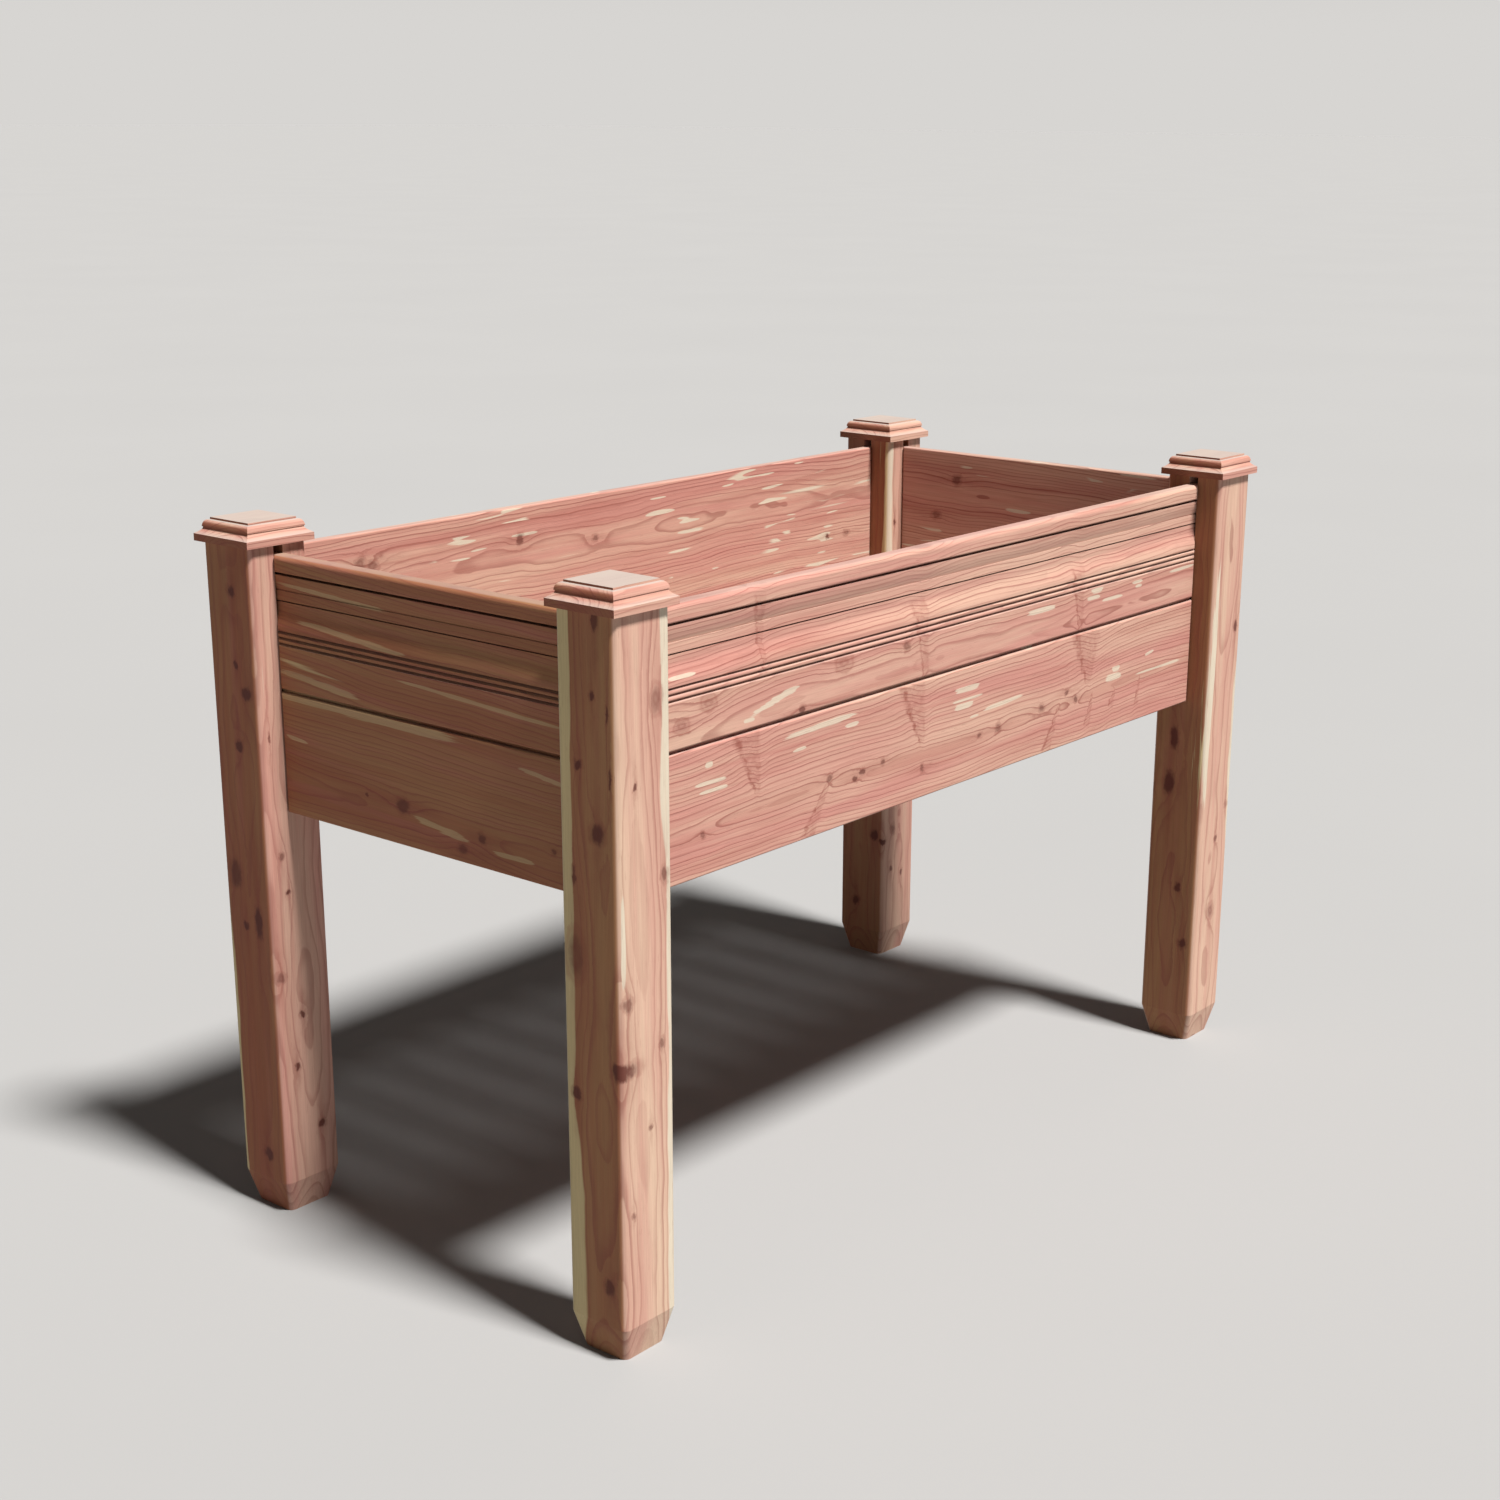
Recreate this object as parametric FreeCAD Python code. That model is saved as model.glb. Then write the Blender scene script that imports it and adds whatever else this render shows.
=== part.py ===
"""Raised cedar planter on four legs.

Four square posts stand at the corners. Each side of the bed is a plain lower board and a
moulded upper board, whose end tenons slide down into grooves in the posts. Decorative caps
close the post tops on hidden dowels. Slats on screwed cleats carry the soil.

Millimetres, +Z up, +X along the length. The origin is on the ground under the middle.
"""
import FreeCAD
import Part
import math
import os

Vector = FreeCAD.Vector

# Overall size
LENGTH = 1219.2             # over the posts, along X
WIDTH = 616.0               # over the posts, along Y
HEIGHT = 812.8              # ground to the top of the caps

# Posts
POST = 79.0
POST_ROUND = 7.5            # radius of the four long edges
FOOT_TAPER = 40.0           # height over which each foot narrows
FOOT_INSET = 9.5            # how far each side comes in over that height
GROOVE_WIDTH = 12.5
GROOVE_DEPTH = 20.0

# Caps, from the bottom up: an overhanging fascia, a cove, a neck, a small roll and a step
CAP_SIDE = 91.5
CAP_HEIGHT = 25.5
FASCIA_HEIGHT = 8.0
CAP_TOP_SIDE = 65.0
CAP_STEP = 2.2
CAP_SHELF = 0.8             # level strip between the step and the roll
CAP_ROLL = 5.8              # how far the roll stands out, and its height
CAP_ROLL_HEIGHT = 7.8
ROLL_FULLNESS = 0.55        # how full the roll's curve is, as a share of both
CAP_QUIRK = 0.8             # how far the neck stands back under the roll
CAP_NECK = 0.8              # height of the neck
COVE_UPRIGHT = 0.38         # how far the cove's head stays upright, as a share of its drop
COVE_FOOT_RUN = 0.55        # where its foot starts to straighten, as shares of its run and its drop
COVE_FOOT_RISE = 0.26

# Boards
BOARD = 17.5                # thickness
BED_BOTTOM = 486.5          # underside of the lower boards
LOWER_HEIGHT = 139.7
UPPER_HEIGHT = 150.5
BOARD_ROUND = 2.2           # eased edges along the board faces
BOARD_EASE = 2.6            # planed-off edges at the board ends
EASE_MIDDLE = 0.3           # where its two flats meet, as a share of the ease
SHOULDER_GAP = 1.5          # between a board's shoulders and the post
TENON = 11.9                # thickness
TENON_END_GAP = 1.0         # between a tenon and the bottom of its groove
TONGUE = 5.0
TONGUE_HEIGHT = 6.0
TONGUE_GAP = 0.4
FACE_JOINT = 4.0            # open line between the two boards on the outside

# Floor
CLEAT = 19.0
CLEAT_HEIGHT = 38.0
CLEAT_DROP = 4.0            # cleats sit this far above the underside of the boards
CLEAT_END_GAP = 1.0
SLAT = 19.0
SLAT_WIDTH = 88.9
SLAT_COUNT = 12
SLAT_END_GAP = 2.0
SLAT_ROUND = 2.0            # eased edges along the top

# Fixings
DOWEL = 10.0
DOWEL_LENGTH = 40.0
DOWEL_IN_CAP = 13.0
DOWEL_CHAMFER = 1.0
FIT_GAP = 0.1               # radial clearance round dowels and screws
SCREW = 4.2
SCREW_HEAD = 8.4
CLEAT_SCREW_LENGTH = 31.0
SLAT_SCREW_LENGTH = 40.0
SCREW_POINT = 5.0
SCREW_EDGE = 12.0           # slat screws stay this far from the posts

# Worked out from the sizes above
POST_X = (LENGTH - POST) / 2
POST_Y = (WIDTH - POST) / 2
POST_HEIGHT = HEIGHT - CAP_HEIGHT
LOWER_TOP = BED_BOTTOM + LOWER_HEIGHT
UPPER_TOP = LOWER_TOP + UPPER_HEIGHT
INNER_X = POST_X - BOARD / 2            # inner faces of the end boards
INNER_Y = POST_Y - BOARD / 2            # inner faces of the long boards
CLEAT_BOTTOM = BED_BOTTOM + CLEAT_DROP
CLEAT_TOP = CLEAT_BOTTOM + CLEAT_HEIGHT

CORNERS = [("front_left", -1, -1), ("front_right", 1, -1), ("back_left", -1, 1), ("back_right", 1, 1)]
SIDES = ["front", "right", "back", "left"]      # each a quarter turn on from the one before


def box(x0, x1, y0, y1, z0, z1):
    return Part.makeBox(x1 - x0, y1 - y0, z1 - z0, Vector(x0, y0, z0))


def rounded_square(half, radius, z):
    """A square wire with rounded corners, centred on Z."""
    flat = half - radius
    middle = flat + radius * math.sqrt(0.5)
    edges = []
    for turns in range(4):
        turn = FreeCAD.Rotation(Vector(0, 0, 1), 90 * turns)
        start, through, end, on = [turn.multVec(Vector(x, y, z)) for x, y in
                                   ((half, flat), (middle, middle), (flat, half), (-flat, half))]
        edges.append(Part.Arc(start, through, end).toShape())
        edges.append(Part.makeLine(end, on))
    return Part.Wire(edges)


def eased_prism(half_x, half_y, ease, bottom, top):
    """A vertical prism whose long edges are each planed off in two flats."""
    outline = []
    for sx, sy in ((1, -1), (1, 1), (-1, 1), (-1, -1)):
        middle = EASE_MIDDLE * ease
        corner = [(half_x - ease, half_y), (half_x - middle, half_y - middle), (half_x, half_y - ease)]
        if sx * sy > 0:
            corner.reverse()
        outline += [Vector(sx * x, sy * y, bottom) for x, y in corner]
    face = Part.Face(Part.makePolygon(outline + outline[:1]))
    return face.extrude(Vector(0, 0, top - bottom))


def quarter_turned(shape, turns):
    turned = shape.copy()
    turned.rotate(Vector(0, 0, 0), Vector(0, 0, 1), 90 * turns)
    return turned


def screw(length, gap=0.0):
    """A countersunk screw pointing down -Z, with its flat head at z = 0."""
    shank = SCREW / 2 + gap
    head = SCREW_HEAD / 2 + gap
    cone = Part.makeCone(head, shank, head - shank, Vector(0, 0, 0), Vector(0, 0, -1))
    shaft_length = length - SCREW_POINT
    shaft = Part.makeCylinder(shank, shaft_length, Vector(0, 0, 0), Vector(0, 0, -1))
    point = Part.makeCone(shank, 0, SCREW_POINT + gap, Vector(0, 0, -shaft_length), Vector(0, 0, -1))
    return cone.fuse([shaft, point]).removeSplitter()


def placed(shape, position, direction=Vector(0, 0, -1)):
    """The shape moved to a position, with its own -Z turned to the direction."""
    moved = shape.copy()
    moved.Placement = FreeCAD.Placement(position, FreeCAD.Rotation(Vector(0, 0, -1), direction))
    return moved


# Posts and caps

def make_post():
    """The front left post, with its grooves open towards +X and +Y."""
    half = POST / 2
    top_of_foot = rounded_square(half, POST_ROUND, FOOT_TAPER)
    shaft = Part.Face(top_of_foot).extrude(Vector(0, 0, POST_HEIGHT - FOOT_TAPER))
    foot = Part.makeLoft([rounded_square(half - FOOT_INSET, POST_ROUND, 0), top_of_foot], True, True)
    post = shaft.fuse(foot)
    slot_half = GROOVE_WIDTH / 2
    along_x = box(half - GROOVE_DEPTH, half + 1, -slot_half, slot_half, BED_BOTTOM, POST_HEIGHT + 1)
    along_y = box(-slot_half, slot_half, half - GROOVE_DEPTH, half + 1, BED_BOTTOM, POST_HEIGHT + 1)
    bore_depth = DOWEL_LENGTH - DOWEL_IN_CAP
    bore = Part.makeCylinder(DOWEL / 2 + FIT_GAP, bore_depth + 1, Vector(0, 0, POST_HEIGHT - bore_depth))
    return post.cut([along_x, along_y, bore])


def cap_outline_prism():
    """The cap's moulded side outline, run straight through along Y."""
    half = CAP_SIDE / 2
    top_half = CAP_TOP_SIDE / 2
    shelf_end = top_half + CAP_SHELF
    roll_end = shelf_end + CAP_ROLL
    neck = roll_end - CAP_QUIRK
    step_z = HEIGHT - CAP_STEP
    roll_foot = step_z - CAP_ROLL_HEIGHT
    cove_top = roll_foot - CAP_NECK
    fascia_top = POST_HEIGHT + FASCIA_HEIGHT
    run = half - neck
    drop = cove_top - fascia_top
    roll_top_handle = shelf_end + ROLL_FULLNESS * CAP_ROLL
    roll_foot_handle = roll_foot + ROLL_FULLNESS * CAP_ROLL_HEIGHT
    cove_head_handle = cove_top - COVE_UPRIGHT * drop
    cove_foot_handle = (neck + COVE_FOOT_RUN * run, fascia_top + COVE_FOOT_RISE * drop)
    edges = []
    for side in (1, -1):
        def point(x, z):
            return Vector(side * x, -half, z)

        def line(*ends):
            edges.extend(Part.makeLine(point(*start), point(*end)) for start, end in zip(ends, ends[1:]))

        def curve(*poles):
            bezier = Part.BezierCurve()
            bezier.setPoles([point(*pole) for pole in poles])
            edges.append(bezier.toShape())

        line((0, HEIGHT), (top_half, HEIGHT), (top_half, step_z), (shelf_end, step_z))
        curve((shelf_end, step_z), (roll_top_handle, step_z), (roll_end, roll_foot_handle),
              (roll_end, roll_foot))
        line((roll_end, roll_foot), (neck, roll_foot), (neck, cove_top))
        curve((neck, cove_top), (neck, cove_head_handle), cove_foot_handle, (half, fascia_top))
        line((half, fascia_top), (half, POST_HEIGHT), (0, POST_HEIGHT))
    face = Part.Face(Part.Wire(Part.__sortEdges__(edges)))
    return face.extrude(Vector(0, CAP_SIDE, 0))


def make_cap():
    """The same outline on all four sides, mitred at the corners by crossing two prisms."""
    prism = cap_outline_prism()
    cap = prism.common(quarter_turned(prism, 1))
    bore = Part.makeCylinder(DOWEL / 2 + FIT_GAP, DOWEL_IN_CAP + 1, Vector(0, 0, POST_HEIGHT - 1))
    return cap.cut(bore)


def make_dowel():
    foot = POST_HEIGHT + DOWEL_IN_CAP - DOWEL_LENGTH
    dowel = Part.makeCylinder(DOWEL / 2, DOWEL_LENGTH, Vector(0, 0, foot))
    rims = [edge for edge in dowel.Edges if edge.Curve.TypeId == "Part::GeomCircle"]
    return dowel.makeChamfer(DOWEL_CHAMFER, rims)


# Boards. A board's section is drawn as (depth, z): depth 0 is the outer face.

def section_face(start, steps):
    """A closed section. Each step is a point, or (through, point) for an arc, or
    ("curve", handle, handle, point) for a smooth curve."""
    def vector(pair):
        return Vector(0, pair[0], pair[1])

    edges = []
    here = start
    for step in steps:
        if step[0] == "curve":
            curve = Part.BezierCurve()
            curve.setPoles([vector(here), vector(step[1]), vector(step[2]), vector(step[3])])
            edges.append(curve.toShape())
            here = step[3]
        elif isinstance(step[0], tuple):
            edges.append(Part.Arc(vector(here), vector(step[0]), vector(step[1])).toShape())
            here = step[1]
        else:
            edges.append(Part.makeLine(vector(here), vector(step)))
            here = step
    return Part.Face(Part.Wire(edges))


def corner_arc(corner, radius, enter, leave):
    """An arc step round a square corner: enter and leave are the directions of travel."""
    middle = radius * (1 - math.sqrt(0.5))
    through = (corner[0] + middle * (leave[0] - enter[0]), corner[1] + middle * (leave[1] - enter[1]))
    end = (corner[0] + radius * leave[0], corner[1] + radius * leave[1])
    return (through, end)


UP = (0, 1)
DOWN = (0, -1)
INWARD = (1, 0)
OUTWARD = (-1, 0)


def lower_section():
    """Plain board, eased on its face, with a tongue along the top."""
    r = BOARD_ROUND
    face_top = LOWER_TOP - FACE_JOINT / 2
    tongue_out = (BOARD - TONGUE) / 2
    tongue_in = tongue_out + TONGUE
    tongue_top = LOWER_TOP + TONGUE_HEIGHT
    steps = [
        (0, face_top - r),
        corner_arc((0, face_top), r, UP, INWARD),
        (tongue_out, face_top),
        (tongue_out, tongue_top),
        (tongue_in, tongue_top),
        (tongue_in, LOWER_TOP),
        (BOARD, LOWER_TOP),
        (BOARD, BED_BOTTOM),
        (r, BED_BOTTOM),
        corner_arc((0, BED_BOTTOM), r, OUTWARD, UP),
    ]
    return section_face((0, BED_BOTTOM + r), steps)


def upper_section():
    """Moulded board: a flat, two beads, an ogee, a fillet, a curved strip and a rounded top rail."""
    r = BOARD_ROUND
    face_bottom = LOWER_TOP + FACE_JOINT / 2
    groove_out = (BOARD - TONGUE) / 2 - TONGUE_GAP
    groove_in = (BOARD + TONGUE) / 2 + TONGUE_GAP
    groove_top = LOWER_TOP + TONGUE_HEIGHT + TONGUE_GAP

    bead = 6.6                              # spacing of the three small grooves
    cut = 4.4                               # their depth
    mouth = 1.7                             # half their width at the face
    bead_edge = 0.4                         # how far the beads round away from the face
    first = LOWER_TOP + 52.6                # lowest small groove
    bead_top = first + 2 * bead
    belly_top = bead_top + 4.5
    belly_height = 20.0
    belly_ease = 6.5                        # how long each end of the ogee stays upright
    band_depth = 5.2
    line_z = LOWER_TOP + 99.8               # narrow slot under the fillet
    line_half = 0.9
    line_depth = 9.0
    fillet_depth = 4.2
    fillet_top = line_z + 11.7
    strip_foot = 5.4
    strip_head = 1.6
    strip_top = fillet_top + 17.4
    slot_depth = 11.0                       # slot under the rail
    rail_bottom = strip_top + 2.8
    rail_round = 6.0

    steps = [
        (0, first - mouth),
        (cut, first),
        (bead_edge, first + mouth),
        ((0, first + bead / 2), (bead_edge, first + bead - mouth)),
        (cut, first + bead),
        (bead_edge, first + bead + mouth),
        ((0, first + 1.5 * bead), (bead_edge, bead_top - mouth)),
        (cut, bead_top),
        (0, bead_top + mouth),
        (0, belly_top),
        ("curve", (0, belly_top + belly_ease), (band_depth, belly_top + belly_height - belly_ease),
         (band_depth, belly_top + belly_height)),
        (band_depth, line_z - line_half),
        (line_depth, line_z - line_half),
        (line_depth, line_z + line_half),
        (fillet_depth, line_z + line_half),
        (fillet_depth, fillet_top),
        (strip_foot, fillet_top),
        ("curve", (strip_head + 1.8, fillet_top + 6.0), (strip_head, strip_top - 6.0),
         (strip_head, strip_top)),
        (slot_depth, strip_top),
        (slot_depth, rail_bottom),
        (r, rail_bottom),
        corner_arc((0, rail_bottom), r, OUTWARD, UP),
        (0, UPPER_TOP - rail_round),
        corner_arc((0, UPPER_TOP), rail_round, UP, INWARD),
        (BOARD - r, UPPER_TOP),
        corner_arc((BOARD, UPPER_TOP), r, INWARD, DOWN),
        (BOARD, LOWER_TOP),
        (groove_in, LOWER_TOP),
        (groove_in, groove_top),
        (groove_out, groove_top),
        (groove_out, face_bottom),
        (r, face_bottom),
        corner_arc((0, face_bottom), r, OUTWARD, UP),
    ]
    return section_face((0, face_bottom + r), steps)


def make_board(section, post_along, post_across):
    """A board facing -Y between two posts, which stand at +-post_along and at -post_across."""
    shoulder = post_along - POST / 2 - SHOULDER_GAP
    end = post_along - POST / 2 + GROOVE_DEPTH - TENON_END_GAP
    bar = section.extrude(Vector(2 * end, 0, 0))
    bar.translate(Vector(-end, -BOARD / 2, 0))
    low = BED_BOTTOM - 1
    high = UPPER_TOP + 1
    body = eased_prism(shoulder, BOARD / 2, BOARD_EASE, low, high)
    core = box(-end, end, -TENON / 2, TENON / 2, low, high)
    board = bar.common(body.fuse(core)).removeSplitter()
    board.translate(Vector(0, -post_across, 0))
    return board


def make_side_boards(name, section):
    for turns, side in enumerate(SIDES):
        along, across = (POST_X, POST_Y) if turns % 2 == 0 else (POST_Y, POST_X)
        yield name + "_" + side, quarter_turned(make_board(section, along, across), turns)


# Floor

def screw_places(half_span, count):
    """Even places along a line from -half_span to +half_span."""
    return [half_span * (2 * i / (count - 1) - 1) for i in range(count)]


def cleat_screw_spots(turns):
    """Where the cleat on one side is screwed from the inside, and the way its screws point."""
    even = turns % 2 == 0
    inner = INNER_Y if even else INNER_X
    half_span = (POST_X if even else POST_Y) - POST
    count = 6 if even else 3
    middle_z = CLEAT_BOTTOM + CLEAT_HEIGHT / 2
    rotation = FreeCAD.Rotation(Vector(0, 0, 1), 90 * turns)
    for x in screw_places(half_span, count):
        yield rotation.multVec(Vector(x, -inner + CLEAT, middle_z)), rotation.multVec(Vector(0, -1, 0))


def make_cleat(turns):
    even = turns % 2 == 0
    inner = INNER_Y if even else INNER_X
    half = (POST_X if even else POST_Y) - POST / 2 - CLEAT_END_GAP
    cleat = box(-half, half, -inner, -inner + CLEAT, CLEAT_BOTTOM, CLEAT_TOP)
    return quarter_turned(cleat, turns)


def slat_centres():
    """Evenly spread slats, with equal drainage gaps between them and at both ends."""
    gap = (2 * INNER_X - SLAT_COUNT * SLAT_WIDTH) / (SLAT_COUNT + 1)
    pitch = SLAT_WIDTH + gap
    return [pitch * (i - (SLAT_COUNT - 1) / 2) for i in range(SLAT_COUNT)]


def make_slat(x):
    """One slat across the bed. The end slats are notched round the posts."""
    half_y = INNER_Y - SLAT_END_GAP
    slat = box(x - SLAT_WIDTH / 2, x + SLAT_WIDTH / 2, -half_y, half_y, CLEAT_TOP, CLEAT_TOP + SLAT)
    top = [edge for edge in slat.Edges if edge.BoundBox.ZMin > CLEAT_TOP + SLAT - 0.01]
    slat = slat.makeFillet(SLAT_ROUND, top)
    reach = POST / 2 + SLAT_END_GAP
    notches = [box(sx * POST_X - reach, sx * POST_X + reach, sy * POST_Y - reach, sy * POST_Y + reach,
                   CLEAT_TOP - 1, CLEAT_TOP + SLAT + 1) for _, sx, sy in CORNERS]
    return slat.cut(notches)


def slat_screw_spots():
    """Two screws per slat, into the long cleats. The end slats clear the posts."""
    for x in slat_centres():
        limit = POST_X - POST / 2 - SCREW_EDGE
        for side in (-1, 1):
            yield Vector(max(-limit, min(limit, x)), side * (INNER_Y - CLEAT / 2), CLEAT_TOP + SLAT)


# The whole planter

def build():
    parts = {}
    corner_post = make_post()
    cap = make_cap()
    dowel = make_dowel()
    quarter = {(-1, -1): 0, (1, -1): 1, (1, 1): 2, (-1, 1): 3}
    for name, sx, sy in CORNERS:
        place = Vector(sx * POST_X, sy * POST_Y, 0)
        post = quarter_turned(corner_post, quarter[sx, sy])
        for label, shape in (("post", post), ("cap", cap), ("cap_dowel", dowel)):
            moved = shape.copy()
            moved.translate(place)
            parts[label + "_" + name] = moved

    parts.update(make_side_boards("lower_board", lower_section()))
    parts.update(make_side_boards("upper_board", upper_section()))
    for turns, side in enumerate(SIDES):
        parts["cleat_" + side] = make_cleat(turns)
    for number, x in enumerate(slat_centres(), 1):
        parts["floor_slat_%02d" % number] = make_slat(x)

    cleat_spots = [(turns, spot) for turns in range(4) for spot in cleat_screw_spots(turns)]
    for turns, (position, direction) in cleat_spots:
        hole = placed(screw(CLEAT_SCREW_LENGTH, FIT_GAP), position, direction)
        for node in ("cleat_" + SIDES[turns], "lower_board_" + SIDES[turns]):
            parts[node] = parts[node].cut(hole)
    for index, position in enumerate(slat_screw_spots()):
        hole = placed(screw(SLAT_SCREW_LENGTH, FIT_GAP), position)
        slat = "floor_slat_%02d" % (index // 2 + 1)
        cleat = "cleat_front" if position.y < 0 else "cleat_back"
        parts[slat] = parts[slat].cut(hole)
        parts[cleat] = parts[cleat].cut(hole)
    parts["cleat_screws"] = Part.makeCompound(
        [placed(screw(CLEAT_SCREW_LENGTH), position, direction) for _, (position, direction) in cleat_spots])
    parts["slat_screws"] = Part.makeCompound(
        [placed(screw(SLAT_SCREW_LENGTH), position) for position in slat_screw_spots()])
    return parts


os.makedirs("parts", exist_ok=True)
for node, shape in build().items():
    shape.exportStep("parts/" + node + ".step")
    print(node, len(shape.Solids), shape.isValid(), round(shape.Volume / 1000, 1))
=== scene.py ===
"""The looks of a raised cedar planter: solid cedar in every board, cut from its own log."""
import math
import random
import bpy
from mathutils import Matrix, Vector


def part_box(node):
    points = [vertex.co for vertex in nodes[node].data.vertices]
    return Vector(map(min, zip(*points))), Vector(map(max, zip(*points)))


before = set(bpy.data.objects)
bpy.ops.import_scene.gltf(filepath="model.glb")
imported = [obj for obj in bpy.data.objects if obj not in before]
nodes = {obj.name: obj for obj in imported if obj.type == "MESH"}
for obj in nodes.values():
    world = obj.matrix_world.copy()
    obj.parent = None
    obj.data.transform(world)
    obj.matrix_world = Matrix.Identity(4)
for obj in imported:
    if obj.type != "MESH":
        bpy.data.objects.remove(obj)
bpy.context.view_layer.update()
random.seed(48)
MM = 0.001

# The view, in degrees and metres
AZIMUTH = -51.1
ELEVATION = 16.9
ROLL = 0.43
DISTANCE = 2.967
TARGET = Vector((0.0544, 0.0, 0.3752))
FOCAL = 1.552               # focal length as a share of the picture's width
SENSOR = 36.0               # mm
LENS_SHIFT = (-0.035, 0.0468)   # across and up, as shares of the picture's width

# The key light stands in front of the long side and leaves the ends in the shade
KEY_AZIMUTH = 1.0
KEY_ELEVATION = 61.0
KEY_SOFTNESS = 10.0
KEY_STRENGTH = 7.4
KEY_COLOUR = (1.0, 0.965, 0.92)

# The pale floor, and the room's light near the floor and overhead
FLOOR_REACH = 150.0
FLOOR_DARKER = (0.308, 0.312, 0.318)
FLOOR_PALER = (0.322, 0.326, 0.332)
ROOM_LOW = (0.68, 0.665, 0.645)
ROOM_HIGH = (0.100, 0.093, 0.085)

# Linear colours of cedar
HEART_PINK = (0.440, 0.212, 0.178)
HEART_TAN = (0.530, 0.378, 0.283)
HEART_RED = (0.315, 0.108, 0.086)
SAPWOOD = (0.535, 0.484, 0.388)
# Sapwood's olive colour where shade is painted on it
SAPWOOD_PAINTED_SHADE = (0.500, 0.400, 0.200)
# Painted highlight on faces that look up
PAINTED_HIGHLIGHT = (0.368, 0.328, 0.302)
PAINTED_SHADE_TINT = (0.58, 0.43, 0.28)   # what the pink keeps where shade is painted on the heartwood
GRAIN_LINE = (0.200, 0.056, 0.044)
KNOT = (0.085, 0.021, 0.016)
KNOT_RING = (0.200, 0.052, 0.038)

# How strongly cedar reflects, how deep its grain is (m), and how far its noise seeds are spread
WOOD_SPECULAR = 0.12
BUMP_DEPTH = 0.0005
SEED_REACH = 40.0

# Linear colours of the dowels and screws
DOWEL_DARKER = (0.62, 0.45, 0.27)
DOWEL_PALER = (0.74, 0.60, 0.40)
STEEL_DARKER = (0.50, 0.49, 0.46)
STEEL_PALER = (0.66, 0.65, 0.62)

POST_FACE = 39.5            # mm from a post's middle to its faces
LEFT_KNOT = 1.35            # knots on the posts' left faces stand out more, by this share


def look_from(azimuth, elevation, roll=0.0):
    """The turn of a camera or lamp that stands at that angle and faces the middle."""
    a, e = math.radians(azimuth), math.radians(elevation)
    back = Vector((math.sin(a) * math.cos(e), -math.cos(a) * math.cos(e), math.sin(e)))
    right = Vector((0, 0, 1)).cross(back).normalized()
    up = back.cross(right)
    turn = Matrix((right, up, back)).transposed()
    return turn @ Matrix.Rotation(math.radians(roll), 3, "Z"), back


def add_camera():
    turn, back = look_from(AZIMUTH, ELEVATION, ROLL)
    data = bpy.data.cameras.new("camera")
    data.sensor_width = SENSOR
    data.lens = FOCAL * SENSOR
    data.shift_x, data.shift_y = LENS_SHIFT
    camera = bpy.data.objects.new("camera", data)
    camera.matrix_world = Matrix.Translation(TARGET + back * DISTANCE) @ turn.to_4x4()
    bpy.context.collection.objects.link(camera)
    bpy.context.scene.camera = camera


class Graph:
    """Short names for the shader nodes that the materials below are made of."""

    def __init__(self, tree):
        self.tree = tree

    def node(self, kind, inputs=(), **settings):
        made = self.tree.nodes.new("ShaderNode" + kind)
        for key, value in settings.items():
            setattr(made, key, value)
        for key, value in dict(inputs).items():
            self.feed(made.inputs[key], value)
        return made

    def feed(self, socket, value):
        if isinstance(value, bpy.types.NodeSocket):
            self.tree.links.new(value, socket)
        elif isinstance(value, (tuple, Vector)) and socket.type == "RGBA":
            socket.default_value = (*value, 1.0)
        else:
            socket.default_value = value

    def use(self, group, inputs):
        made = self.tree.nodes.new("ShaderNodeGroup")
        made.node_tree = group
        for key, value in inputs.items():
            self.feed(made.inputs[key], value)
        return made.outputs

    def math(self, operation, *values):
        return self.node("Math", enumerate(values), operation=operation).outputs[0]

    def product(self, *values):
        result = values[0]
        for value in values[1:]:
            result = self.math("MULTIPLY", result, value)
        return result

    def scaled(self, value, gain, offset):
        return self.math("MULTIPLY_ADD", value, gain, offset)

    def vector(self, operation, *values):
        made = self.node("VectorMath", operation=operation)
        for index, value in enumerate(values):
            name = "Scale" if operation == "SCALE" and index == 1 else index
            self.feed(made.inputs[name], value)
        return made.outputs["Value" if operation in ("LENGTH", "DOT_PRODUCT") else "Vector"]

    def split(self, vector):
        return self.node("SeparateXYZ", {0: vector}).outputs

    def join(self, x, y, z):
        return self.node("CombineXYZ", {0: x, 1: y, 2: z}).outputs[0]

    def noise(self, vector, scale, detail=2.0, roughness=0.5, colour=False):
        made = self.node("TexNoise", {"Vector": vector, "Scale": scale, "Detail": detail,
                                      "Roughness": roughness})
        return made.outputs["Color" if colour else "Fac"]

    def step(self, value, low, high):
        """Smoothly 0 below low and 1 above high, or the other way round when low is above high."""
        start, end, floor, top = (low, high, 0.0, 1.0) if low < high else (high, low, 1.0, 0.0)
        made = self.node("MapRange", {"Value": value, "From Min": start, "From Max": end,
                                      "To Min": floor, "To Max": top}, interpolation_type="SMOOTHSTEP")
        return made.outputs["Result"]

    def bell(self, value):
        return self.math("EXPONENT", self.product(value, value, -1.0))

    def mix(self, factor, first, second, blend="MIX"):
        made = self.node("Mix", data_type="RGBA", blend_type=blend)
        self.feed(made.inputs["Factor"], factor)
        self.feed(made.inputs[6], first)
        self.feed(made.inputs[7], second)
        return made.outputs[2]


def new_group(name, inputs, outputs):
    """A node group, its graph, the sockets given to it, and the sockets of its result."""
    tree = bpy.data.node_groups.new(name, "ShaderNodeTree")
    for direction, sockets in (("INPUT", inputs), ("OUTPUT", outputs)):
        for label, kind in sockets:
            tree.interface.new_socket(label, in_out=direction, socket_type="NodeSocket" + kind)
    given = tree.nodes.new("NodeGroupInput").outputs
    result = tree.nodes.new("NodeGroupOutput").inputs
    return tree, Graph(tree), given, result


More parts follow.
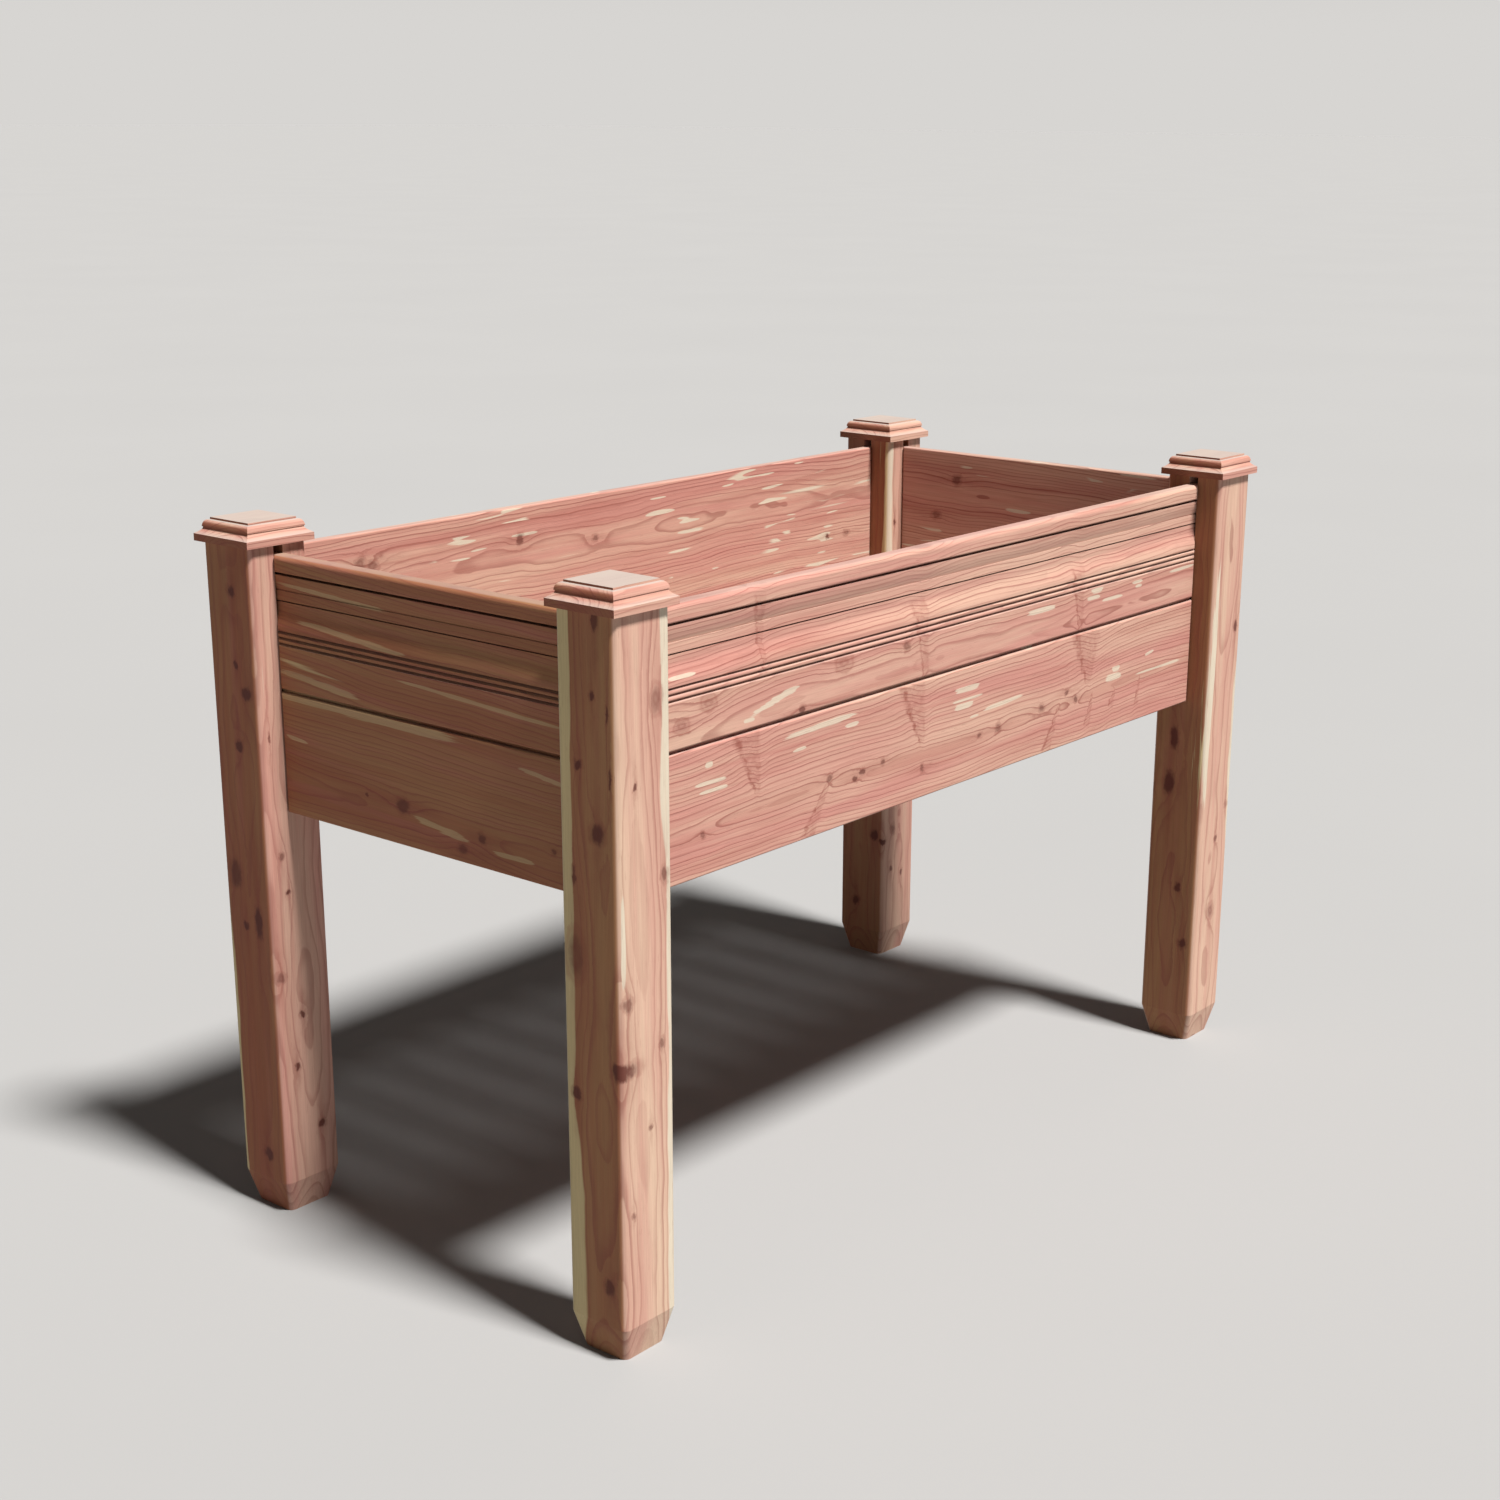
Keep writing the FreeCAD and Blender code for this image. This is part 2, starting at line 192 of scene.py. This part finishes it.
def knot_group():
    """One round knot: it lifts the rings around it, and its dark heart stains the grain on both sides."""
    tree, g, given, result = new_group(
        "knot",
        [("Wood", "Vector"), ("Centre", "Vector"), ("Spread", "Vector"), ("Lift", "Float"),
         ("Strength", "Float"), ("Rise", "Float"), ("Dark", "Float"), ("Ringed", "Float")],
        [("Rise", "Float"), ("Dark", "Float"), ("Ringed", "Float")])
    away = g.vector("MULTIPLY", g.vector("SUBTRACT", given["Wood"], given["Centre"]), given["Spread"])
    reach = g.vector("LENGTH", away)
    flow = g.vector("LENGTH", g.vector("MULTIPLY", away, (0.28, 0.55, 0.55)))
    heart = g.step(reach, 1.15, 0.55)
    rings = g.step(g.math("PINGPONG", g.product(reach, 2.6), 1.0), 0.3, 0.85)
    collar = g.product(g.step(reach, 1.8, 0.95), g.scaled(rings, 0.25, 0.25))
    smear = g.bell(g.vector("LENGTH", g.vector("MULTIPLY", away, (0.18, 1.2, 1.2))))
    stain = g.math("MAXIMUM", collar, g.product(smear, given["Strength"], 0.55))
    g.feed(result["Rise"], g.math("MULTIPLY_ADD", g.bell(flow), given["Lift"], given["Rise"]))
    g.feed(result["Dark"], g.math("MAXIMUM", given["Dark"], g.product(heart, given["Strength"])))
    g.feed(result["Ringed"], g.math("MAXIMUM", given["Ringed"], stain))
    return tree


def spike_group():
    """One branch cut along its length: a wedge that widens from the heart of the log, with red edges."""
    tree, g, given, result = new_group(
        "spike",
        [("Wood", "Vector"), ("Base", "Vector"), ("Toward", "Vector"), ("Side", "Vector"), ("Lift", "Float"),
         ("Rise", "Float"), ("Ringed", "Float")],
        [("Rise", "Float"), ("Ringed", "Float")])
    away = g.vector("SUBTRACT", given["Wood"], given["Base"])
    out = g.vector("DOT_PRODUCT", away, given["Toward"])
    side = g.vector("DOT_PRODUCT", away, given["Side"])
    width = g.math("MAXIMUM", g.scaled(out, 0.78, 0.22), 0.12)
    offset = g.math("DIVIDE", side, width)
    reach = g.math("ABSOLUTE", offset)
    length = g.product(g.step(out, -0.06, 0.08), g.step(out, 1.14, 0.95))
    edge = g.product(g.step(reach, 0.30, 0.90), g.step(reach, 1.45, 0.95))
    inside = g.step(reach, 1.5, 0.7)
    grit = g.step(g.noise(given["Wood"], 120.0, 3.0), 0.40, 0.64)
    fill = g.product(inside, g.scaled(grit, 0.20, 0.16))
    darker_edge = g.scaled(g.step(offset, 0.4, -0.4), 0.55, 0.45)
    outline = g.product(edge, darker_edge, g.scaled(grit, 0.55, 0.35))
    mark = g.product(length, g.math("MAXIMUM", outline, fill))
    sweep = g.product(offset, g.bell(g.product(offset, 0.5)), g.step(out, -0.3, 0.5))
    g.feed(result["Rise"], g.math("MULTIPLY_ADD", sweep, given["Lift"], given["Rise"]))
    g.feed(result["Ringed"], g.math("MAXIMUM", given["Ringed"], mark))
    return tree


def cedar_group():
    """Solid cedar. Wood runs (along, across, depth) in metres from the middle of the piece,
    and the log's rings are centred on Pith, so faces, edges and ends agree with each other."""
    tree, g, given, result = new_group(
        "cedar",
        [("Wood", "Vector"), ("Pith", "Vector"), ("Lean", "Vector"), ("Sap radius", "Float"),
         ("Ring width", "Float"), ("Seed", "Vector"), ("Tan", "Float"), ("Painted shade", "Float"), ("Red", "Float"),
         ("Streaks", "Float"), ("Flecks", "Float"), ("Cream", "Float"), ("Rise", "Float"), ("Dark", "Float"),
         ("Ringed", "Float"), ("End", "Float"), ("Painted highlight", "Float"), ("Lines", "Float")],
        [("Color", "Color"), ("Roughness", "Float"), ("Height", "Float")])
    half = (0.5, 0.5, 0.5)
    along = g.split(given["Wood"])["X"]
    wood = g.vector("ADD", given["Wood"], g.vector("MULTIPLY", given["Lean"], g.join(along, along, along)))
    seeded = g.vector("ADD", wood, given["Seed"])

    def stretched(along, across, detail=2.0, roughness=0.5, colour=False):
        place = g.vector("MULTIPLY", seeded, (along, across, across))
        return g.noise(place, 1.0, detail, roughness, colour)

    # Rings: distance from the pith, which wanders along the log
    sway = g.vector("SCALE", g.vector("SUBTRACT", stretched(3.2, 4.0, 1.0, 0.4, True), half), 0.030)
    ripple = g.vector("SCALE", g.vector("SUBTRACT", stretched(12.0, 24.0, 2.0, 0.5, True), half), 0.006)
    off_pith = g.vector("ADD", g.vector("SUBTRACT", wood, given["Pith"]), g.vector("ADD", sway, ripple))
    radius = g.vector("LENGTH", g.vector("MULTIPLY", off_pith, (0.0, 1.0, 1.0)))
    lifted = g.math("ADD", radius, given["Rise"])
    uneven = g.noise(g.join(g.product(lifted, 80.0), 0.0, 0.0), 1.0, 1.0)
    phase = g.math("ADD", g.math("DIVIDE", lifted, given["Ring width"]), g.product(uneven, 1.8))
    ring = g.math("FRACT", phase)
    year = g.node("TexWhiteNoise", {"W": g.math("FLOOR", phase)}, noise_dimensions="1D").outputs["Value"]
    line = g.product(g.step(ring, 0.62, 0.92), g.step(ring, 1.0, 0.96), g.scaled(year, 0.80, 0.20))
    band = g.step(ring, 0.1, 0.95)

    # Heartwood: drifts of tone, redder streaks, then the rings
    drift = g.scaled(g.step(stretched(1.8, 30.0, 3.0, 0.6), 0.32, 0.68), 0.60, -0.30)
    colour = g.mix(g.node("Clamp", {0: g.math("ADD", given["Tan"], drift)}).outputs[0], HEART_PINK, HEART_TAN)
    # Painted shade: this share browns the heartwood of faces and pieces that stand in shade
    colour = g.mix(given["Painted shade"], colour, PAINTED_SHADE_TINT, "MULTIPLY")
    near_pith = g.product(g.step(lifted, 0.014, 0.002), 0.45)
    reddish = g.product(g.step(stretched(2.6, 55.0, 4.0, 0.6), 0.48, 0.70), given["Red"])
    colour = g.mix(g.math("MAXIMUM", reddish, near_pith), colour, HEART_RED)
    colour = g.mix(g.math("MULTIPLY_ADD", line, given["Lines"], g.product(band, 0.06)), colour, GRAIN_LINE)

    # Sapwood: beyond its radius, in long streaks, in short flecks, and where Cream asks for it
    edge = g.math("MULTIPLY_ADD", given["Rise"], -0.8, g.math("SUBTRACT", radius, given["Sap radius"]))
    outer = g.step(edge, -0.0010, 0.0010)
    streak = g.step(g.product(stretched(2.3, 46.0, 2.0, 0.4), given["Streaks"]), 0.66, 0.69)
    gathered = g.step(stretched(5.0, 14.0, 1.0), 0.53, 0.56)
    fleck = g.product(g.step(g.product(stretched(16.0, 150.0, 0.0), given["Flecks"]), 0.66, 0.685), gathered)
    sap = g.math("MAXIMUM", g.math("MAXIMUM", outer, streak), g.math("MAXIMUM", fleck, given["Cream"]))
    pale = g.mix(g.math("MULTIPLY_ADD", line, 0.20, 0.04), SAPWOOD, HEART_TAN)
    # Painted shade turns the sapwood olive as well
    pale = g.mix(g.product(given["Painted shade"], 0.85), pale, SAPWOOD_PAINTED_SHADE)
    colour = g.mix(g.product(sap, 0.93), colour, pale)

    # Fibres, and short dark pores
    fibre = stretched(16.0, 900.0, 3.0, 0.6)
    tint = g.scaled(fibre, 0.42, 0.79)
    colour = g.mix(1.0, colour, g.join(tint, tint, tint), "MULTIPLY")
    pore = g.step(stretched(60.0, 1300.0, 1.0), 0.68, 0.78)
    colour = g.mix(g.product(pore, 0.28), colour, GRAIN_LINE)

    # Knots
    colour = g.mix(g.product(given["Ringed"], 0.80), colour, KNOT_RING)
    colour = g.mix(g.product(given["Dark"], 0.88), colour, KNOT)

    # End grain looks darker, and faces that look up get a painted highlight
    colour = g.mix(g.product(given["End"], 0.40), colour, GRAIN_LINE)
    colour = g.mix(given["Painted highlight"], colour, PAINTED_HIGHLIGHT)

    roughness = g.math("SUBTRACT", g.scaled(fibre, 0.22, 0.54), g.product(given["Dark"], 0.12))
    height = g.math("MULTIPLY_ADD", line, 0.45, g.product(fibre, 0.45))
    height = g.math("MULTIPLY_ADD", pore, -0.4, height)
    height = g.math("MULTIPLY_ADD", given["Dark"], 0.5, height)
    g.feed(result["Color"], colour)
    g.feed(result["Roughness"], roughness)
    g.feed(result["Height"], height)
    return tree


KNOTS = knot_group()
SPIKES = spike_group()
CEDAR = cedar_group()


def add_knots(g, wood, knots, shape):
    """Knots are (along, across, depth, radius, stretch, strength), in mm; depth None goes right through."""
    for along, across, depth, size, stretch, strength in knots:
        through = 0.0 if depth is None else 0.35
        sideways = depth is not None and abs(across) > abs(depth)
        shares = (1 / stretch, 0.35, 1.0) if sideways else (1 / stretch, 1.0, through)
        made = g.use(KNOTS, {
            "Wood": wood, "Centre": Vector((along, across, depth or 0.0)) * MM,
            "Spread": Vector(shares) / (size * MM), "Lift": 0.7 * size * MM, "Strength": strength, **shape})
        shape = {key: made[key] for key in shape}
    return shape


def add_spikes(g, wood, spikes, shape):
    """Spikes are (along, across) at the heart, (along, across) at the outside, and half the width there."""
    for along, across, out_along, out_across, half_width in spikes:
        reach = Vector((out_along - along, out_across - across, 0.0)) * MM
        side = Vector((reach.y, -reach.x, 0.0)).normalized()
        if side.x < 0:
            side = -side
        made = g.use(SPIKES, {
            "Wood": wood, "Base": Vector((along, across, 0.0)) * MM, "Toward": reach / reach.length_squared,
            "Side": side / (half_width * MM), "Lift": 0.25 * half_width * MM,
            "Rise": shape["Rise"], "Ringed": shape["Ringed"]})
        shape = {**shape, "Rise": made["Rise"], "Ringed": made["Ringed"]}
    return shape


def add_cream(g, wood, cream, strength):
    """Flecks of sapwood: (along, across, depth, half length, half height, slope), in mm.
    With depth None a fleck goes right through the piece. Their outlines fray along the grain."""
    if not cream:
        return 0.0
    nearest = 9.0               # further than any fleck reaches
    for along, across, depth, half_length, half_height, slope in cream:
        away = g.split(g.vector("SUBTRACT", wood, Vector((along, across, depth or 0.0)) * MM))
        level = g.product(g.math("MULTIPLY_ADD", away["X"], -slope, away["Y"]), 1 / (half_height * MM))
        long_way = g.product(away["X"], 1 / (half_length * MM))
        deep = 0.0 if depth is None else g.product(away["Z"], 1 / (4 * half_height * MM))
        size = g.vector("LENGTH", g.join(g.product(long_way, long_way), level, deep))
        nearest = g.math("MINIMUM", nearest, size)
    fray = g.noise(g.vector("MULTIPLY", wood, (14.0, 420.0, 420.0)), 1.0, 2.0)
    return g.product(g.step(g.math("MULTIPLY_ADD", fray, 1.5, nearest), 1.85, 1.55), strength)


def cedar(node, axes, pith, sap=400.0, knots=(), spikes=(), cream=(), slope=0.012, ring=4.2,
          tan=0.3, piece_shade=0.0, red=0.5, streaks=0.9, flecks=0.0, cream_strength=1.0, left_face_shade=0.0,
          top_highlight=0.35, lines=0.62):
    """Give one CAD node its own cedar. axes names the object axes along, across and through the
    piece. pith, sap and ring are in mm: the log's middle, the heartwood's radius, a year's growth.
    The faces that look left get painted shade (browner) by one share, the whole piece by another, and faces
    that look up get a painted highlight (paler) by a third."""
    low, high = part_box(node)
    middle = (low + high) / 2
    material = bpy.data.materials.new(node + "_cedar")
    material.use_nodes = True
    g = Graph(material.node_tree)
    shader = material.node_tree.nodes["Principled BSDF"]
    place = g.node("TexCoord").outputs
    parts = g.split(g.vector("SUBTRACT", place["Object"], middle))
    wood = g.join(*[parts["XYZ".index(axis)] for axis in axes])
    normal = g.split(place["Normal"])
    end = g.step(g.math("ABSOLUTE", normal["XYZ".index(axes[0])]), 0.75, 0.95)
    # Painted shade: faces that look left get browner, on top of the piece's own share of painted shade
    painted_shade = g.math("MULTIPLY_ADD", g.step(normal["X"], -0.72, -0.96), left_face_shade, piece_shade)
    # Painted highlight: faces that look up get paler
    painted_highlight = g.product(g.step(normal["Z"], 0.75, 0.97), top_highlight)
    shake = g.noise(g.vector("MULTIPLY", wood, (0.6, 1.0, 1.0)), 130.0, 3.0, 0.6, colour=True)
    wobble = g.vector("SUBTRACT", shake, (0.5, 0.5, 0.5))
    shaky = g.vector("ADD", wood, g.vector("MULTIPLY", wobble, (0.014, 0.009, 0.009)))
    shape = add_knots(g, shaky, knots, {"Rise": 0.0, "Dark": 0.0, "Ringed": 0.0})
    shape = add_spikes(g, shaky, spikes, shape)
    seed = tuple(random.uniform(-SEED_REACH, SEED_REACH) for _ in range(3))
    out = g.use(CEDAR, {
        "Wood": wood, "Pith": Vector((0.0, *pith)) * MM, "Lean": (0.0, -slope, 0.006), "Sap radius": sap * MM,
        "Ring width": ring * MM, "Seed": seed, "Tan": tan,
        "Painted shade": painted_shade, "Red": red, "Streaks": streaks, "Flecks": flecks,
        "Cream": add_cream(g, wood, cream, cream_strength), "End": end, "Painted highlight": painted_highlight,
        "Lines": lines, **shape})
    bump = g.node("Bump", {"Height": out["Height"], "Distance": BUMP_DEPTH, "Strength": 0.5})
    g.feed(shader.inputs["Base Color"], out["Color"])
    g.feed(shader.inputs["Roughness"], out["Roughness"])
    g.feed(shader.inputs["Normal"], bump.outputs["Normal"])
    shader.inputs["Specular IOR Level"].default_value = WOOD_SPECULAR
    dress(node, material)


def dress(node, material):
    slots = nodes[node].data.materials
    slots.clear()
    slots.append(material)


def random_knots(count, half_along, half_across, sizes, depths=(None,)):
    return [(random.uniform(-half_along, half_along), random.uniform(-half_across, half_across),
             random.choice(depths), random.uniform(*sizes), random.uniform(1.0, 1.8),
             random.uniform(0.4, 1.0)) for _ in range(count)]


def on_face(face, spots):
    """Turn (height, offset, radius, stretch, strength) on a post's front or left face into knots."""
    if face == "front":
        return [(height, offset, -POST_FACE, *rest) for height, offset, *rest in spots]
    return [(height, -POST_FACE, offset, LEFT_KNOT * size, *rest) for height, offset, size, *rest in spots]


def add_posts():
    # Every post gets painted shade on its faces that look left
    near = on_face("front", [
        (305, 17, 8, 2.0, 0.45), (222, -14, 3, 1.4, 0.9), (125, 27, 5.5, 1.7, 0.7), (3, -28, 7, 1.2, 0.6),
        (-51, 20, 4.5, 1.6, 0.6), (-139, 3, 2.6, 1.5, 0.6), (-228, -24, 2.8, 1.4, 0.5)])
    near += on_face("left", [
        (387, -14, 3.5, 2.8, 0.9), (313, -9, 3, 1.5, 1.0), (297, -28, 1.6, 5.0, 0.9),
        (242, 11, 4.2, 1.1, 1.0), (233, -31, 1.6, 6.0, 0.9), (176, -13, 7.5, 1.2, 1.0),
        (128, 20, 2.2, 4.0, 0.8), (44, 20, 9, 2.2, 0.5), (-67, -36, 7, 1.2, 1.0),
        (-105, 22, 5, 1.1, 1.0), (-309, -19, 5.5, 1.4, 0.9)])
    cedar("post_front_left", "ZXY", (-8, -14), 45.0, near, cream=[(70, -33, -POST_FACE, 48, 2.6, 0.0)],
          slope=-0.0086, red=0.15, tan=0.70, ring=6.4, left_face_shade=1.0, top_highlight=0.0, lines=0.42)
    right = on_face("front", [
        (190, 24, 5, 1.8, 0.9), (-60, 27, 4, 1.3, 0.3), (-104, 4, 4, 1.3, 0.7), (-208, 2, 8, 1.5, 0.4)])
    right += on_face("left", [
        (40, 8, 5, 2.6, 1.0), (-24, 12, 7, 2.0, 1.0), (-170, -10, 4, 1.2, 1.0), (-250, -22, 5, 1.3, 1.0)])
    cedar("post_front_right", "ZXY", (-4, 4), 56.0, right, cream=[(110, -31, -POST_FACE, 165, 6.5, 0.02)],
          slope=0.004, red=0.25, tan=0.65, ring=5.6, left_face_shade=1.0, top_highlight=0.0, lines=0.42)
    left = on_face("left", [
        (343, -5, 5, 1.3, 1.0), (261, -5, 3, 1.3, 1.0), (231, -21, 6.5, 1.2, 1.0), (168, -2, 5, 1.2, 1.0),
        (16, 19, 8, 1.8, 0.8), (-44, 6, 4, 1.2, 1.0), (-36, -17, 5, 3.2, 1.0), (-322, -9, 6, 1.2, 1.0)])
    left += on_face("front", [
        (180, -27, 1.6, 5.0, 0.7), (43, -20, 4, 1.2, 0.6), (-99, -31, 7, 1.1, 0.6), (-1, -13, 3, 1.3, 1.0),
        (-151, -3, 4.5, 1.2, 1.0), (-213, -15, 4.5, 1.2, 1.0), (-292, 15, 6, 1.2, 1.0)])
    cedar("post_back_left", "ZXY", (2, 0), 60.0, left, cream=[(-210, -POST_FACE, 36, 180, 1.5, 0.0)],
          slope=0.004, red=0.30, tan=0.3, ring=5.4, left_face_shade=1.0, top_highlight=0.0, lines=0.42)
    back = on_face("left", [(-200, -24, 6, 1.2, 1.0), (-210, -37, 3, 1.2, 1.0), (-310, 10, 5, 1.2, 0.9)])
    back += random_knots(6, 370, 30, (3, 6), (-POST_FACE, POST_FACE))
    cedar("post_back_right", "ZXY", (5, 4), 58.0, back, slope=0.004, red=0.25, tan=0.5, ring=5.6, left_face_shade=0.95,
          top_highlight=0.0, lines=0.42)


def add_front_boards():
    cedar("lower_board_front", "XZY", (-17, -3), knots=[
        (-451, -28, None, 4, 1.2, 0.5), (-243, -13, None, 5, 1.2, 0.6), (-197, -24, None, 3.5, 1.4, 0.8),
        (-184, -18, None, 4, 1.4, 0.8), (-147, -15, None, 4.5, 1.2, 0.7), (-72, -38, None, 4.5, 1.0, 0.6),
        (42, -21, None, 3, 1.8, 0.7), (80, -20, None, 6, 1.0, 0.5), (174, -14, None, 5, 1.4, 0.6),
        (228, -5, None, 4, 1.0, 0.7), (249, -17, None, 5, 1.0, 0.7)],
        spikes=[
            (-364, -2, -383, 68, 18), (-73, -8, -95, 68, 20), (278, 0, 270, 68, 27),
            (-243, -14, -279, -70, 9), (212, -18, 187, -70, 8), (290, -16, 278, -54, 6),
            (342, -18, 334, -42, 5), (403, -14, 396, -50, 4)],
        cream=[
            (-259, 49, None, 60, 3.4, 0.03), (-295, 30, None, 11, 1.8, 0.03),
            (-204, 40, None, 12, 2.6, 0.0), (-438, 25, None, 23, 2.0, 0.0),
            (-433, 16, None, 21, 2.0, 0.0), (-441, 44, None, 6, 3.0, 0.0),
            (14, 40, None, 25, 3.6, 0.0), (15, 27, None, 30, 2.0, 0.0), (8, 20, None, 19, 3.8, 0.0),
            (91, 9, None, 44, 2.6, 0.05), (30, 4, None, 9, 1.6, 0.0), (144, 67, None, 12, 2.6, 0.0),
            (337, -5, None, 19, 4.4, 0.0), (343, 5, None, 9, 4.0, 0.0),
            (424, 12, None, 11, 2.0, 0.1), (451, -11, None, 56, 1.8, 0.0)],
        ring=4.8, tan=0.25, red=0.35, streaks=0.8, cream_strength=0.8)
    cedar("upper_board_front", "XZY", (-62, 8), knots=[
        (-482, -50, None, 7, 1.6, 0.2), (-442, -33, None, 8, 1.4, 0.1), (-291, -70, None, 5, 1.2, 0.8),
        (-219, -31, None, 9, 1.5, 0.1), (-106, -31, None, 6, 1.0, 0.5)],
        spikes=[
            (-66, -90, -80, 10, 12), (257, -90, 246, 0, 11), (-352, -20, -360, 60, 8)],
        cream=[
            (-345, -53, None, 30, 3.2, 0.2), (-322, -47, None, 26, 3.6, 0.2),
            (-378, -64, None, 9, 2.0, 0.0), (-480, 1, None, 20, 2.4, 0.0),
            (165, -34, None, 29, 3.4, 0.0), (290, -28, None, 14, 3.0, 0.0),
            (282, -36, None, 16, 2.6, 0.0), (326, -43, None, 24, 2.0, 0.0),
            (386, -31, None, 12, 2.0, 0.0), (389, -37, None, 8, 2.0, 0.0),
            (495, -30, None, 30, 2.2, 0.0)],
        ring=4.8, tan=0.32, red=0.35, streaks=0.85, cream_strength=0.8)


def add_left_boards():
    # The left end boards get painted shade over the whole piece
    cedar("lower_board_left", "YZX", (-40, 10), knots=[
        (34, -28, None, 9, 1.3, 0.8), (-57, -58, None, 7, 1.2, 0.7), (-87, -41, None, 6, 1.1, 0.8),
        (-191, -33, None, 4, 1.3, 0.7), (91, -26, None, 2.6, 1.2, 0.8)],
        cream=[
            (130, 62, None, 190, 5.5, 0.02), (-176, 42, None, 34, 2.6, 0.1),
            (206, 16, None, 18, 2.4, 0.1), (-24, -42, None, 40, 4.0, 0.12),
            (-130, -52, None, 30, 3.0, 0.0)],
        slope=0.04, ring=4.6, tan=0.45, piece_shade=1.0, red=0.45, streaks=0.88, cream_strength=0.45)
    cedar("upper_board_left", "YZX", (-90, 12), cream=[
        (160, -58, None, 66, 4.0, 0.09), (105, 0, None, 88, 3.0, 0.07), (140, 40, None, 90, 2.6, 0.05),
        (-90, -40, None, 120, 2.2, 0.05)],
        slope=0.06, ring=4.8, tan=0.5, piece_shade=1.0, red=0.45, streaks=0.92, cream_strength=0.4)


def add_other_boards():
    for side, axes, half, count in (("back", "XZY", 500, 7), ("right", "YZX", 220, 4)):
        for level in ("lower", "upper"):
            pith = (random.uniform(-30, 30), random.choice((-1, 1)) * random.uniform(5, 40))
            knots = random_knots(count, half, 55, (3, 8))
            cedar(level + "_board_" + side, axes, pith, knots=knots, red=0.4, streaks=0.90, flecks=0.97)


def add_caps():
    for name in nodes:
        if name.startswith("cap_") and "dowel" not in name:
            pith = (random.uniform(-30, 30), -60)
            # Caps get painted shade on faces that look left and a painted highlight on their tops
            cedar(name, "XYZ", pith, red=0.45, tan=0.45, ring=3.8, left_face_shade=1.0, top_highlight=0.85)


def add_floor_wood():
    for name in sorted(nodes):
        if name.startswith("floor_slat"):
            cedar(name, "YXZ", (random.uniform(-20, 20), -50), 75, random_knots(3, 240, 35, (3, 7)))
        elif name.startswith("cleat_") and "screws" not in name:
            cedar(name, "XZY" if name.endswith(("front", "back")) else "YZX", (0, 50))


def stage():
    """A pale floor, one soft key, and a room whose pale walls meet the floor without a line."""
    floor_material = bpy.data.materials.new("pale_floor")
    floor_material.use_nodes = True
    g = Graph(floor_material.node_tree)
    shader = floor_material.node_tree.nodes["Principled BSDF"]
    cloud = g.noise(g.node("TexCoord").outputs["Object"], 0.8, 3.0)
    g.feed(shader.inputs["Base Color"], g.mix(cloud, FLOOR_DARKER, FLOOR_PALER))
    shader.inputs["Roughness"].default_value = 0.9
    shader.inputs["Specular IOR Level"].default_value = 0.0
    corners = [(x * FLOOR_REACH, y * FLOOR_REACH, 0.0) for x, y in ((-1, -1), (1, -1), (1, 1), (-1, 1))]
    mesh = bpy.data.meshes.new("floor")
    mesh.from_pydata(corners, [], [(0, 1, 2, 3)])
    floor = bpy.data.objects.new("floor", mesh)
    floor.data.materials.append(floor_material)
    bpy.context.collection.objects.link(floor)

    turn, _ = look_from(KEY_AZIMUTH, KEY_ELEVATION)
    key = bpy.data.lights.new("key", "SUN")
    key.angle = math.radians(KEY_SOFTNESS)
    key.energy = KEY_STRENGTH
    key.color = KEY_COLOUR
    lamp = bpy.data.objects.new("key", key)
    lamp.matrix_world = turn.to_4x4()
    bpy.context.collection.objects.link(lamp)

    world = bpy.data.worlds.new("room")
    world.use_nodes = True
    g = Graph(world.node_tree)
    height = g.split(g.node("TexCoord").outputs["Generated"])["Z"]
    sky = world.node_tree.nodes["Background"]
    g.feed(sky.inputs["Color"], g.mix(g.step(height, 0.03, 0.22), ROOM_LOW, ROOM_HIGH))
    sky.inputs["Strength"].default_value = 1.0
    bpy.context.scene.world = world
    bpy.context.scene.view_settings.view_transform = "Standard"


def small_hardware():
    """Turned hardwood dowels and plain stainless screws."""
    dowel = bpy.data.materials.new("dowel_wood")
    dowel.use_nodes = True
    g = Graph(dowel.node_tree)
    shader = dowel.node_tree.nodes["Principled BSDF"]
    place = g.vector("MULTIPLY", g.node("TexCoord").outputs["Object"], (900.0, 900.0, 25.0))
    g.feed(shader.inputs["Base Color"], g.mix(g.noise(place, 1.0, 3.0), DOWEL_DARKER, DOWEL_PALER))
    shader.inputs["Roughness"].default_value = 0.6
    steel = bpy.data.materials.new("screw_steel")
    steel.use_nodes = True
    g = Graph(steel.node_tree)
    shader = steel.node_tree.nodes["Principled BSDF"]
    scratches = g.noise(g.node("TexCoord").outputs["Object"], 1400.0, 3.0)
    g.feed(shader.inputs["Base Color"], g.mix(scratches, STEEL_DARKER, STEEL_PALER))
    g.feed(shader.inputs["Roughness"], g.scaled(scratches, 0.3, 0.22))
    shader.inputs["Metallic"].default_value = 1.0
    for name in nodes:
        if "dowel" in name:
            dress(name, dowel)
        elif "screws" in name:
            dress(name, steel)


add_camera()
stage()
add_posts()
add_front_boards()
add_left_boards()
add_other_boards()
add_caps()
add_floor_wood()
small_hardware()
